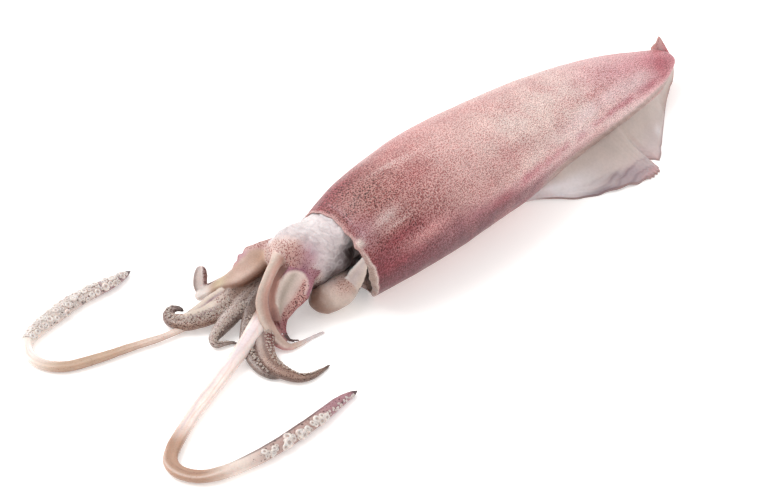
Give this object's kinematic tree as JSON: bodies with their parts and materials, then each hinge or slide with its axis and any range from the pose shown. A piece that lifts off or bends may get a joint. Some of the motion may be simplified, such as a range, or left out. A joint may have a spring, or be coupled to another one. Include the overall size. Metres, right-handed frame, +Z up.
{
  "type": "whole raw squid",
  "caption": "Whole raw squid lying on its belly: plump mantle with two spread fins, head with a bulging eye, funnel, sprawled arms and two long feeding tentacles with suckers.",
  "frame": {"origin": "middle of the footprint, on the surface that the squid lies on", "axes": "+X along the body from the head to the tail tip, +Y to the squid's far side as it lies, +Z up"},
  "size_m": [0.3488, 0.1314, 0.0488],
  "materials": {
    "squid": "wet, translucent skin, pinkish red with fine dark spots"
  },
  "bodies": {
    "root": {"squid": "squid"}
  },
  "joints": []
}
